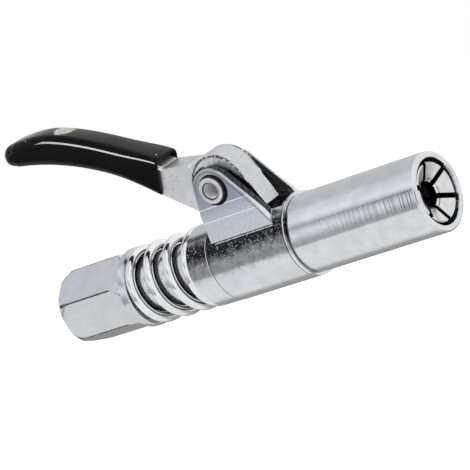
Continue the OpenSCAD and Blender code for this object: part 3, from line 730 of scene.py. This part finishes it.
# Inside of the hollow rivet, rolled outwards at both ends, pale as painted light for the brightness seen
# through the hole: its side and radius, inside and outside
LINING_INSIDE = ((7.55, 1.86), (7.4, 1.80), (7.1, 1.74), (3, 1.74))
LINING_OUTSIDE = ((7.5, 1.9), (7.1, 1.84), (3, 1.84))


def lining_ring(side, radius, count=48):
    turns = (2 * pi * k / count for k in range(count))
    return [(PIVOT_X + radius * cos(a), side, PIVOT_Z + radius * sin(a)) for a in turns]


lining = [(-side, radius) for side, radius in LINING_INSIDE] + list(reversed(LINING_INSIDE))
lining += list(LINING_OUTSIDE) + [(-side, radius) for side, radius in reversed(LINING_OUTSIDE)]
new_object("rivet_bore_lining", loft("rivet_bore_lining", [lining_ring(*row) for row in lining], looped=True),
           BORE, "sleeve", "plated_steel")


# Dipped grip: its end along the handle, the height of its top, and half its width and thickness
GRIP_END, GRIP_TOP, GRIP_WIDTH, GRIP_THICK = 47.7, 45.2, 4.65, 3.8
# Lengths over which it flares at the front, tapers to the tip and closes there
FLARE, TAPER, CLOSING = 16.0, 12.0, 4.6
# Fall of the top towards the tip: the radius of its curve, the share of it that is used and what lifts it
TIP_R, TIP_SHARE, TIP_LIFT = 18.0, 0.8, 1 / 170
# Growth at the front, up and to the other sides, and a low hump: its height, its middle and half its length
FRONT_UP, FRONT_OUT, HUMP, HUMP_AT, HUMP_HALF = 1.15, 0.1, 0.2, 30, 12
# Radius of the corners, how much less it is at the front, and how much the top is crowned
GRIP_CORNER, FRONT_LESS, CROWN = 2.3, 0.9, 0.35
# The closed tip: how far it lies below the middle, how blunt it is, and its least width as a share
TIP_LOW, TIP_BLUNT, TIP_LEAST = 0.35, 0.55, 0.02
# Length over which the top passes into the height that it may not exceed
TOP_BLEND = 1.6
# The front rim leans: how far at its bottom and top, the height between them and the length of the change
RIM_BOTTOM, RIM_TOP, RIM_HEIGHT, RIM_FADE = -1.4, 1.49, 8.4, 8.0


def smooth(t):
    t = min(max(t, 0), 1)
    return t * t * (3 - 2 * t)


def rounded_box(width, top, bottom, corner, count):
    """Points of a rounded rectangle in the plane across the handle, as (side, out)."""
    points = []
    for k in range(count):
        quarter, part = divmod(k, count // 4)
        a = radians(90 * quarter + 90 * part / (count // 4))
        side = (width - corner) * (1 if quarter in (0, 3) else -1)
        out = (top - corner) if quarter in (0, 1) else (corner - bottom)
        points.append((side + corner * cos(a), out + corner * sin(a)))
    return points


def grip_size(along):
    """Half width, reach out and in from the curve, and corner radius of the grip's section."""
    tip = max(GRIP_END - along, 0)
    taper = max(TAPER - tip, 0)
    front = smooth(1 - (along + 1.5) / FLARE)
    drop = (TIP_R - sqrt(max(TIP_R ** 2 - taper ** 2, 0))) * TIP_SHARE - taper ** 2 * TIP_LIFT
    top = GRIP_THICK + FRONT_UP * front + HUMP * smooth(1 - abs(along - HUMP_AT) / HUMP_HALF) - drop
    bottom = GRIP_THICK + FRONT_OUT * front
    width = GRIP_WIDTH + FRONT_OUT * front
    corner = GRIP_CORNER - FRONT_LESS * front
    if tip < CLOSING:
        close = max(sqrt(max(1 - ((CLOSING - tip) / CLOSING) ** 2, 0)), TIP_LEAST)
        width *= close
        shut = close ** TIP_BLUNT
        middle = (top - bottom) / 2 - TIP_LOW
        top = middle + (top - middle) * shut
        bottom = (bottom + middle) * shut - middle
        corner = min(width, (top + bottom) / 2) * 0.9
    room = (GRIP_TOP - CENTRE[1]) / sin(ROOT + along / HANDLE_R) - HANDLE_R
    return width, soft_min(top, room, TOP_BLEND), bottom, corner


def grip_section(along, shrink, count=72):
    """One ring of the grip; shrink draws the wall in at the open front end."""
    width, top, bottom, corner = grip_size(along)
    middle = (top - bottom) / 2
    ring = []
    for side, out in rounded_box(width, top, bottom, min(corner, width * 0.98), count):
        crown = CROWN * (side / GRIP_WIDTH) ** 2 if out > 0 else 0
        lean = RIM_BOTTOM + (RIM_TOP - RIM_BOTTOM) * (out + GRIP_THICK) / RIM_HEIGHT
        place = along + lean * max(0, 1 - (along + 0.5) / RIM_FADE)
        ring.append(grip_point(place, middle + (out - crown - middle) * shrink, side * shrink))
    return ring


def grip_rings():
    """Rings from inside the rolled front lip to the closed tip."""
    lip = ((2.0, 0.80), (0.4, 0.80), (0.1, 0.82), (-0.08, 0.86), (-0.14, 0.92), (-0.08, 0.97), (0.1, 0.992))
    stations = [0.4, 0.8, 1.4, 2.2] + [3.0 + i for i in range(40)]
    stations += [GRIP_END - CLOSING + 0.25 * i for i in range(17)]
    stations += [GRIP_END - off for off in (0.45, 0.3, 0.18, 0.1, 0.04, 0.01)]
    rows = [*lip, *((along, 1.0) for along in stations)]
    return [grip_section(along, shrink) for along, shrink in rows]


grip = new_object("dipped_grip", loft("dipped_grip", grip_rings()), VINYL, "lever", "grip_vinyl",
                  "lever_grip")


# Wound and repeated pieces
def geometry_group(name, inputs):
    """Geometry node group: its tree, its inputs as values by name and its output socket."""
    tree = bpy.data.node_groups.new(name, "GeometryNodeTree")
    for label, kind in inputs.items():
        tree.interface.new_socket(name=label, in_out="INPUT", socket_type="NodeSocket" + kind)
    tree.interface.new_socket(name="Geometry", in_out="OUTPUT", socket_type="NodeSocketGeometry")
    return tree, *group_ends(tree, inputs)


def finish_tree(tree, given, out, geometry):
    """Ends a tree in real geometry with its material."""
    real = new_node(tree, "GeometryNodeRealizeInstances", Geometry=geometry)
    feed(tree, out, new_node(tree, "GeometryNodeSetMaterial", Geometry=real, Material=given["Material"]))


def spring_tree():
    """A wire wound round the X axis, lying flat for part of a turn at both ends."""
    numbers = ("Start", "End", "Turns", "Flat Turns", "Coil Radius", "Wire Radius", "Start Angle")
    tree, given, out = geometry_group("wound_spring", {
        **{label: "Float" for label in numbers}, "Steps": "Int", "Sides": "Int", "Material": "Material"})
    line = new_node(tree, "GeometryNodeCurvePrimitiveLine", End=(1, 0, 0))
    points = new_node(tree, "GeometryNodeResampleCurve", Curve=line, Count=given["Steps"])
    turn = new_node(tree, "GeometryNodeSplineParameter", output="Factor") * given["Turns"]
    flat, wire = given["Flat Turns"], given["Wire Radius"]
    share = (turn - flat) / (given["Turns"] - flat * 2.0)
    reach = share.ramp(0.0, 1.0, given["Start"] + wire, given["End"] - wire)
    angle = turn * (2 * pi) + given["Start Angle"]
    radius = given["Coil Radius"]
    place = new_node(tree, "ShaderNodeCombineXYZ", reach, angle.math("COSINE") * radius,
                     angle.math("SINE") * radius)
    wound = new_node(tree, "GeometryNodeSetPosition", Geometry=points, Position=place)
    circle = new_node(tree, "GeometryNodeCurvePrimitiveCircle", Resolution=given["Sides"], Radius=wire)
    coil = new_node(tree, "GeometryNodeCurveToMesh", Curve=wound, Profile_Curve=circle, Fill_Caps=True)
    finish_tree(tree, given, out, coil)
    return tree


def bead_tree():
    """A row of small uneven beads between two points, as a brazed joint's fillet."""
    tree, given, out = geometry_group("bead_row", {"From": "Vector", "To": "Vector", "Count": "Int",
                                                   "Size": "Float", "Seed": "Int", "Material": "Material"})
    line = new_node(tree, "GeometryNodeCurvePrimitiveLine", Start=given["From"], End=given["To"])
    points = new_node(tree, "GeometryNodeCurveToPoints", settings={"mode": "COUNT"}, Curve=line,
                      Count=given["Count"])
    ball = new_node(tree, "GeometryNodeMeshIcoSphere", Subdivisions=2, Radius=given["Size"])
    least, most = (0.8, 0.5, 0.5), (1.9, 1.1, 1.1)
    stretch = new_node(tree, "FunctionNodeRandomValue", least, most, settings={"data_type": "FLOAT_VECTOR"},
                       Seed=given["Seed"])
    copies = new_node(tree, "GeometryNodeInstanceOnPoints", Points=points, Instance=ball, Scale=stretch)
    finish_tree(tree, given, out, new_node(tree, "GeometryNodeSetShadeSmooth", Geometry=copies))
    return tree


def grown(name, tree, values):
    """Plain mesh made by a geometry tree with the given inputs."""
    seed = bpy.data.objects.new(name + "_seed", bpy.data.meshes.new(name + "_seed"))
    bpy.context.scene.collection.objects.link(seed)
    modifier = seed.modifiers.new("grow", "NODES")
    modifier.node_group = tree
    for item in tree.interface.items_tree:
        if item.item_type == "SOCKET" and item.in_out == "INPUT":
            modifier[item.identifier] = values[item.name]
    mesh = frozen(seed, name)
    mesh.shade_smooth()
    mesh.set_sharp_from_angle(angle=radians(60))
    return mesh


SPRING = spring_tree()


def spring(name, node, slot, mat, ends, turns, coil_r, wire_r, angle=0, steps=240,
           sides=12):
    """Coil spring between two ends."""
    mesh = grown(name, SPRING, {
        "Start": ends[0] * MM, "End": ends[1] * MM, "Turns": turns, "Flat Turns": 0.55,
        "Coil Radius": coil_r * MM, "Wire Radius": wire_r * MM, "Start Angle": radians(angle), "Steps": steps,
        "Sides": sides, "Material": mat})
    obj = new_object(name, mesh, mat, "inlet", slot, node)
    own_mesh(obj)


spring("main_coil", "main_spring", "spring_steel", WIRE, (SEAT, SLEEVE_REAR),
       turns=4.0, coil_r=8.8, wire_r=1.2, angle=-43, steps=400, sides=24)
check_rear, check_front = (corner.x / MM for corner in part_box("check_spring"))
spring("check_coil", "check_spring", "dark_steel", DARK, (check_rear, check_front),
       turns=6.0, coil_r=1.7, wire_r=0.3)
piston_rear, piston_front = (corner.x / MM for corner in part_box("piston_spring"))
spring("piston_coil", "piston_spring", "dark_steel", DARK, (piston_rear, piston_front),
       turns=5.0, coil_r=3.85, wire_r=0.4)

# Brazed line along the foot of each ear: from and to along X, its distance to the side and its height
BEADS = bead_tree()
FOOT_FROM, FOOT_TO, FOOT_SIDE, FOOT_Z = 53.6, 71.0, 8.03, 6.25
BEAD_COUNT, BEAD_SIZE, BEAD_SEED = 60, 0.2, 4
for side, label in ((-1, "near"), (1, "far")):
    start, end = ((x * MM, side * FOOT_SIDE * MM, FOOT_Z * MM) for x in (FOOT_FROM, FOOT_TO))
    row = grown(f"ear_fillet_{label}", BEADS, {
        "From": start, "To": end, "Count": BEAD_COUNT, "Size": BEAD_SIZE * MM, "Seed": BEAD_SEED + side,
        "Material": PLATED})
    new_object(f"ear_fillet_{label}", row, PLATED, "sleeve", "plated_steel")

# Finishes of the CAD nodes, shown or replaced
for node, mat in (("inlet_gasket", FIBRE), ("stem", STEM), ("check_seat", BRASS), ("check_ball", JAW),
                  ("stop_ring", DARK), ("jaw_ring", DARK), ("seal_piston", BRASS), ("piston_o_ring", RUBBER),
                  ("nipple_seal", RUBBER), ("clevis_sleeve", FORGING), ("front_tube", BARREL),
                  ("pivot_rivet", RIVET), ("lever_arm", CAST), ("lever_grip", VINYL), ("inlet_adapter", HEX),
                  ("main_spring", WIRE), ("check_spring", DARK), ("piston_spring", DARK),
                  *((f"jaw_{k}", JAW) for k in range(1, 7))):
    paint(nodes[node], mat)

# Stage, light and camera
scene = bpy.context.scene
scene.view_settings.view_transform = "Standard"


def show_surface(tree, shader):
    feed(tree, tree.nodes["Material Output"].inputs["Surface"], shader)


def ray(tree, kind):
    """1 for one kind of ray and 0 for the others."""
    return new_node(tree, "ShaderNodeLightPath", output=f"Is {kind} Ray")


def floor_finish():
    """White paper to the camera; in reflections it darkens behind the object."""
    mat, tree = new_material("floor_paper")
    paper = tree.nodes["Principled BSDF"]
    feed(tree, paper.inputs["Base Color"], (0.6, 0.6, 0.6))
    feed(tree, paper.inputs["Roughness"], 0.9)
    ahead, back = split(tree, object_coords(tree))[:2]
    grey = back.ramp(0.004, 0.03, 0.93, 0.42) * back.ramp(0.03, 0.12, 1.0, 0.72) | ahead.rise(0.08, 0.2)
    mirror = new_node(tree, "ShaderNodeEmission", Strength=grey)
    lift = new_node(tree, "ShaderNodeEmission", Strength=ray(tree, "Camera") * 0.68)
    lit = new_node(tree, "ShaderNodeAddShader", Value(tree, paper.outputs[0]), lift)
    mirrored = ray(tree, "Glossy") | ray(tree, "Transmission")
    show_surface(tree, new_node(tree, "ShaderNodeMixShader", mirrored, lit, mirror))
    return mat


def wall_finish():
    """Paper seen in reflections: its grey changes with the height above the object, less so behind it."""
    mat, tree = new_material("studio_wall_paper")
    direction = split(tree, vector_node(tree, "NORMALIZE", object_coords(tree)))
    height = direction[2].math("ARCSINE")
    greys = ((-13, 0.44), (-2, 0.52), (5, 0.74), (14, 1.0), (21, 0.93), (31, 0.50), (42, 1.0), (50, 0.92),
             (62, 0.72), (90, 0.7))
    front = tone_ramp(tree, height, [(radians(angle), (grey, grey, grey * 1.03)) for angle, grey in greys])
    tone = mix_colour(tree, direction[1].rise(-0.06, 0.14), front, (0.66, 0.66, 0.68))
    show_surface(tree, new_node(tree, "ShaderNodeEmission", Color=tone))
    return mat


def glow_finish(strength):
    """Clear sheet of light that fades towards the rear of the object."""
    mat, tree = new_material("strip_glow")
    along = split(tree, object_coords(tree))[0]
    fade = along.ramp(-1.2, -0.6, strength * 0.4, strength)
    glow = new_node(tree, "ShaderNodeEmission", Strength=fade)
    clear = new_node(tree, "ShaderNodeBsdfTransparent")
    show_surface(tree, new_node(tree, "ShaderNodeAddShader", glow, clear))
    return mat


def stage_piece(name, points, faces, mat):
    """Object that belongs to the stage and not to the coupler."""
    mesh = bpy.data.meshes.new(name)
    mesh.from_pydata(points, [], faces)
    obj = bpy.data.objects.new(name, mesh)
    scene.collection.objects.link(obj)
    obj.data.materials.append(mat)
    return obj


# Middle of the spheres that the cards are parts of
CARDS_MIDDLE = (0.055, 0, 0)


def reflection_card(name, around, heights, radius, mat, steps=28, rows=16):
    """Part of a sphere round the object, between angles in degrees, seen only in reflections."""
    points = []
    for i in range(steps + 1):
        a = radians(around[0] + (around[1] - around[0]) * i / steps)
        for k in range(rows + 1):
            e = radians(heights[0] + (heights[1] - heights[0]) * k / rows)
            points.append((radius * cos(a) * cos(e), radius * sin(a) * cos(e), radius * sin(e)))
    corners = (i * (rows + 1) + k for i in range(steps) for k in range(rows))
    faces = [(n, n + 1, n + rows + 2, n + rows + 1) for n in corners]
    obj = stage_piece(name, points, faces, mat)
    obj.location = CARDS_MIDDLE
    obj.visible_shadow = False
    obj.visible_diffuse = False
    obj.visible_camera = False
    return obj


# The floor's height and edges, in metres as all of the stage
FLOOR_Z, FLOOR_X, FLOOR_Y = -0.075, (-0.45, 0.6), (-0.5, 0.6)
floor_corners = [(FLOOR_X[i], FLOOR_Y[k], FLOOR_Z) for i, k in ((0, 0), (1, 0), (1, 1), (0, 1))]
stage_piece("floor", floor_corners, [(0, 1, 2, 3)], floor_finish())

# The walls stand round the inlet's end, from behind the coupler to its near side
WALL_AROUND = (120, 285)
wall_paper = wall_finish()
reflection_card("low_wall", WALL_AROUND, (-13, 6), 0.34, wall_paper)
reflection_card("high_wall", WALL_AROUND, (-2, 88), 2.2, wall_paper)

# The strip lights only the grip, for the highlight along it
strip = reflection_card("soft_strip", (227, 273), (32, 46.5), 2.0, glow_finish(75.0), 12, 2)
strip.light_linking.receiver_collection = bpy.data.collections.new("lit_by_strip")
strip.light_linking.receiver_collection.objects.link(grip)

# The world is white to the camera and in reflections, and lights the object with part of that
world = bpy.data.worlds.new("studio")
scene.world = world
world.use_nodes = True
sky = world.node_tree
seen = ray(sky, "Camera") | ray(sky, "Glossy") | ray(sky, "Transmission")
feed(sky, sky.nodes["Background"].inputs["Strength"], seen.ramp(0.0, 1.0, 0.55, 1.0))
feed(sky, sky.nodes["Background"].inputs["Color"], (1, 1, 1))

# Soft key light above and in front
KEY_PLACE, KEY_TARGET = Vector((-0.15, -0.35, 0.55)), Vector((0.05, 0, 0))
key_data = bpy.data.lights.new("key_soft", "AREA")
key_data.energy = 2.5
key_data.size = 0.3
key = bpy.data.objects.new("key_soft", key_data)
scene.collection.objects.link(key)
key.location = KEY_PLACE
key.rotation_euler = (KEY_TARGET - KEY_PLACE).to_track_quat("-Z", "Y").to_euler()
key.visible_glossy = False

# Camera where the photograph was taken from
CAMERA_PLACE = (0.4356136, -0.47579607, 0.10614003)
CAMERA_TURN = (0.75787063, 0.54643121, 0.34610646, 0.08517839)
camera_data = bpy.data.cameras.new("camera")
camera_data.lens = 200.38
camera_data.sensor_width = 36
camera_data.clip_start = 0.01
camera_data.clip_end = 20
camera = bpy.data.objects.new("camera", camera_data)
scene.collection.objects.link(camera)
camera.rotation_mode = "QUATERNION"
camera.rotation_quaternion = Quaternion(CAMERA_TURN)
camera.location = CAMERA_PLACE
scene.camera = camera
